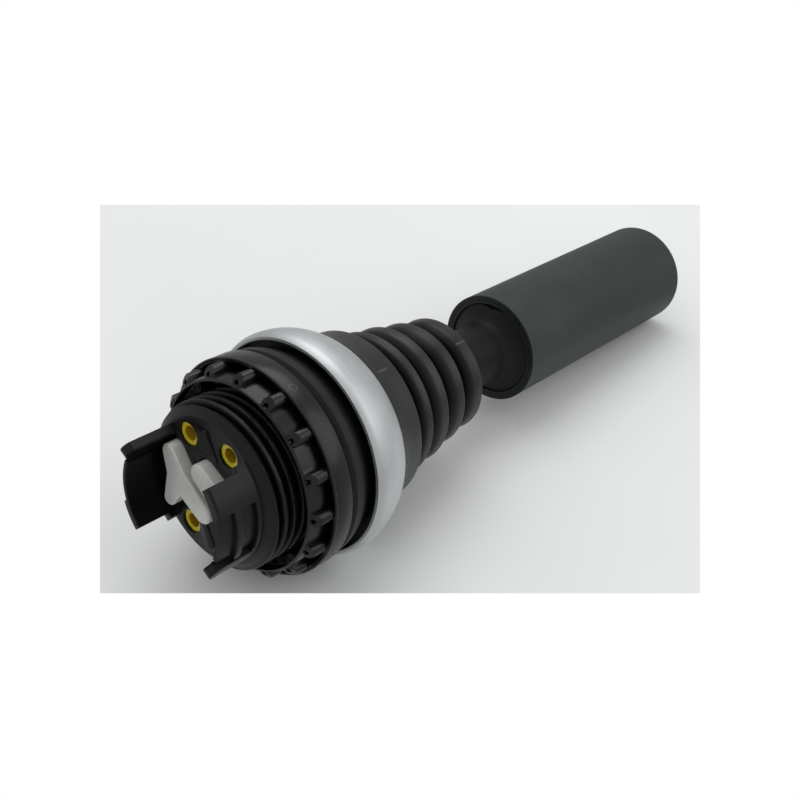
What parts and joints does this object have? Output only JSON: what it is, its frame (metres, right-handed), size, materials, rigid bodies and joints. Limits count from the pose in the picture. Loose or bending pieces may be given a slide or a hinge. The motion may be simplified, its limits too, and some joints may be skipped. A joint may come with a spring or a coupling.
{
  "type": "four-way panel joystick head",
  "caption": "Panel-mount four-way joystick head with a straight slate-grey grip, black rubber bellows, satin silver bezel, threaded barrel with ring nut and switch-actuating pins",
  "frame": {"origin": "centre of the gasket's rear face, which lies on the panel", "axes": "+Z along the upright lever, from the barrel behind the panel to the grip; +X through one latching ear; -Y uppermost when the head lies on a table with its ears level"},
  "size_m": [0.0306, 0.0304, 0.1025],
  "materials": {
    "black_moulding": "semi-matt moulded",
    "nut_moulding": "slightly glossy",
    "gasket_rubber": "matt",
    "bellows_rubber": "matt, slightly dusty",
    "bezel_metal": "satin",
    "steel_parts": "bright turned",
    "spring_steel": "oiled wire",
    "gimbal_metal": "die cast, bead blasted",
    "grip_moulding": "matt fine grain",
    "inner_moulding": "plain moulded",
    "plunger_moulding": "plain moulded",
    "pin_moulding": "slightly glossy"
  },
  "bodies": {
    "housing": {"threaded_housing": "black_moulding", "trunnion_pins": "steel_parts", "panel_gasket": "gasket_rubber", "front_bezel": "bezel_metal", "bellows": "bellows_rubber", "bellows_clamp": "steel_parts", "centring_spring": "spring_steel"},
    "gimbal": {"gimbal_ring": "gimbal_metal"},
    "lever": {"pivot_hub": "gimbal_metal", "cross_pin": "steel_parts", "lever_rod": "steel_parts", "tail_bar": "steel_parts", "spring_seat": "inner_moulding", "lever_neck": "black_moulding", "grip_core": "inner_moulding", "lock_nut": "steel_parts", "grip_sleeve": "grip_moulding"},
    "pin_upper_left": {"switch_pin_upper_left": "pin_moulding"},
    "pin_upper_right": {"switch_pin_upper_right": "pin_moulding"},
    "pin_lower_left": {"switch_pin_lower_left": "pin_moulding"},
    "pin_lower_right": {"switch_pin_lower_right": "pin_moulding"},
    "left_plunger": {"plunger_left": "plunger_moulding"},
    "right_plunger": {"plunger_right": "plunger_moulding"},
    "washer": {"thrust_washer": "steel_parts"},
    "nut": {"ring_nut": "nut_moulding"}
  },
  "joints": [
    {"name": "fore_aft_tilt", "type": "hinge", "parent": "housing", "child": "gimbal", "pos_m": [0, 0, 0.0027], "axis": [1, 0, 0], "range_deg": [-15, 15], "stiffness_Nm_per_rad": 0.25, "deforming": ["bellows"]},
    {"name": "left_right_tilt", "type": "hinge", "parent": "gimbal", "child": "lever", "pos_m": [0, 0, 0.0027], "axis": [0, 1, 0], "range_deg": [-15, 15], "stiffness_Nm_per_rad": 0.25, "deforming": ["centring_spring"]},
    {"name": "pin_upper_left_travel", "type": "slide", "parent": "housing", "child": "pin_upper_left", "axis": [0, 0, 1], "range_m": [-0.00172, 0.00172]},
    {"name": "pin_upper_right_travel", "type": "slide", "parent": "housing", "child": "pin_upper_right", "axis": [0, 0, 1], "range_m": [-0.00172, 0.00172]},
    {"name": "pin_lower_left_travel", "type": "slide", "parent": "housing", "child": "pin_lower_left", "axis": [0, 0, 1], "range_m": [-0.00172, 0.00172]},
    {"name": "pin_lower_right_travel", "type": "slide", "parent": "housing", "child": "pin_lower_right", "axis": [0, 0, 1], "range_m": [-0.00172, 0.00172]},
    {"name": "plunger_left_travel", "type": "slide", "parent": "housing", "child": "left_plunger", "axis": [0, 0, 1], "range_m": [-0.0012, 0.0012]},
    {"name": "plunger_right_travel", "type": "slide", "parent": "housing", "child": "right_plunger", "axis": [0, 0, 1], "range_m": [-0.0012, 0.0012]},
    {"name": "nut_travel", "type": "slide", "parent": "housing", "child": "washer", "axis": [0, 0, -1], "range_m": [0, 0.0061]},
    {"name": "nut_turn", "type": "hinge", "parent": "washer", "child": "nut", "pos_m": [0, 0, -0.003], "axis": [0, 0, -1], "range_deg": [0, 1440]}
  ],
  "couplings": [
    {"joint": "pin_upper_left_travel", "follows": "fore_aft_tilt", "m_per_rad": -0.0063},
    {"joint": "pin_upper_right_travel", "follows": "fore_aft_tilt", "m_per_rad": -0.0063},
    {"joint": "pin_lower_left_travel", "follows": "fore_aft_tilt", "m_per_rad": 0.0063},
    {"joint": "pin_lower_right_travel", "follows": "fore_aft_tilt", "m_per_rad": 0.0063},
    {"joint": "plunger_left_travel", "follows": "left_right_tilt", "m_per_rad": 0.0044},
    {"joint": "plunger_right_travel", "follows": "left_right_tilt", "m_per_rad": -0.0044},
    {"joint": "nut_travel", "follows": "nut_turn", "m_per_rad": 0.00023873}
  ]
}
